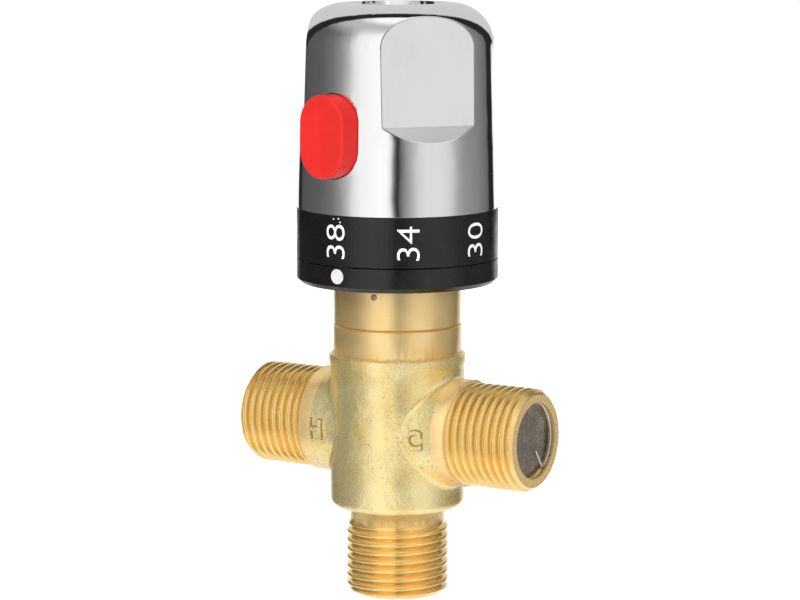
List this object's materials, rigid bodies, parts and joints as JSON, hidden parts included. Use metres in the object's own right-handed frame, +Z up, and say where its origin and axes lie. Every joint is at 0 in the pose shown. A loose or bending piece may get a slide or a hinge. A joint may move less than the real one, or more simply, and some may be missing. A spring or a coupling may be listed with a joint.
{
  "type": "thermostatic mixing valve",
  "caption": "Brass mixing valve with two opposed threaded inlets, a threaded outlet below, and a chromed temperature knob with grips, a dial ring and a red safety button.",
  "frame": {"origin": "centre of the outlet's end face", "axes": "+Z up the outlet and the knob's axis, +X along the cold inlet, -X along the hot inlet"},
  "size_m": [0.0654, 0.0448, 0.1208],
  "materials": {
    "cast_brass": "cast, dull",
    "turned_brass": "turned",
    "chromed_knob": "polished",
    "black_plastic": "satin",
    "red_plastic": "satin",
    "steel": "drawn",
    "woven_steel": "woven",
    "seal_rubber": "moulded",
    "white_plastic": "moulded",
    "capsule_copper": "drawn"
  },
  "bodies": {
    "valve": {"valve_body": "cast_brass", "cartridge_sleeve": "turned_brass", "sleeve_seals": "seal_rubber", "cold_seat_ring": "turned_brass", "return_spring": "steel", "bonnet": "turned_brass", "bonnet_seal": "seal_rubber", "headwork": "turned_brass", "locating_pin": "steel", "index_ring": "black_plastic", "index_clip": "steel", "stop_ring": "black_plastic", "hot_check_housing": "white_plastic", "hot_check_seal": "seal_rubber", "hot_check_guide": "white_plastic", "hot_check_spring": "steel", "hot_strainer": "woven_steel", "hot_snap_ring": "steel", "cold_check_housing": "white_plastic", "cold_check_seal": "seal_rubber", "cold_check_guide": "white_plastic", "cold_check_spring": "steel", "cold_strainer": "woven_steel", "cold_snap_ring": "steel"},
    "knob": {"knob": "chromed_knob", "dial_ring": "black_plastic", "knob_cap": "chromed_knob", "knob_screw": "steel", "spindle": "turned_brass", "spindle_seals": "seal_rubber", "spindle_clip": "steel", "button_spring": "steel"},
    "button": {"safety_button": "red_plastic"},
    "carrier": {"setting_carrier": "turned_brass", "overload_clip": "steel", "overload_spring": "steel"},
    "plunger": {"overload_plunger": "turned_brass", "push_pin": "steel"},
    "shuttle": {"mixing_spool": "turned_brass", "spool_seal": "seal_rubber", "wax_capsule": "capsule_copper"},
    "hot_poppet": {"hot_check_poppet": "white_plastic", "hot_poppet_seal": "seal_rubber"},
    "cold_poppet": {"cold_check_poppet": "white_plastic", "cold_poppet_seal": "seal_rubber"}
  },
  "joints": [
    {"name": "knob_turn", "type": "hinge", "parent": "valve", "child": "knob", "pos_m": [0, 0, 0.1], "axis": [0, 0, 1], "range_deg": [-96, 134]},
    {"name": "button_press", "type": "slide", "parent": "knob", "child": "button", "axis": [0.1288, 0.9917, 0], "range_m": [0, 0.0026], "stiffness_N_per_m": 900, "springref_m": -0.001, "deforming": ["button_spring"]},
    {"name": "setting_slide", "type": "slide", "parent": "valve", "child": "carrier", "axis": [0, 0, 1], "range_m": [-0.00045, 0.0006]},
    {"name": "overload_slide", "type": "slide", "parent": "carrier", "child": "plunger", "axis": [0, 0, 1], "range_m": [0, 0.002], "stiffness_N_per_m": 3000, "springref_m": -0.001, "deforming": ["overload_spring"]},
    {"name": "wax_stroke", "type": "slide", "parent": "carrier", "child": "shuttle", "axis": [0, 0, 1], "range_m": [-0.00085, 0.00065], "stiffness_N_per_m": 2000, "deforming": ["return_spring"]},
    {"name": "hot_check_open", "type": "slide", "parent": "valve", "child": "hot_poppet", "axis": [1, 0, 0], "range_m": [0, 0.003], "stiffness_N_per_m": 60, "springref_m": -0.001, "deforming": ["hot_check_spring"]},
    {"name": "cold_check_open", "type": "slide", "parent": "valve", "child": "cold_poppet", "axis": [-1, 0, 0], "range_m": [0, 0.003], "stiffness_N_per_m": 60, "springref_m": -0.001, "deforming": ["cold_check_spring"]}
  ],
  "couplings": [
    {"joint": "setting_slide", "follows": "knob_turn", "m_per_rad": 0.00023873}
  ]
}
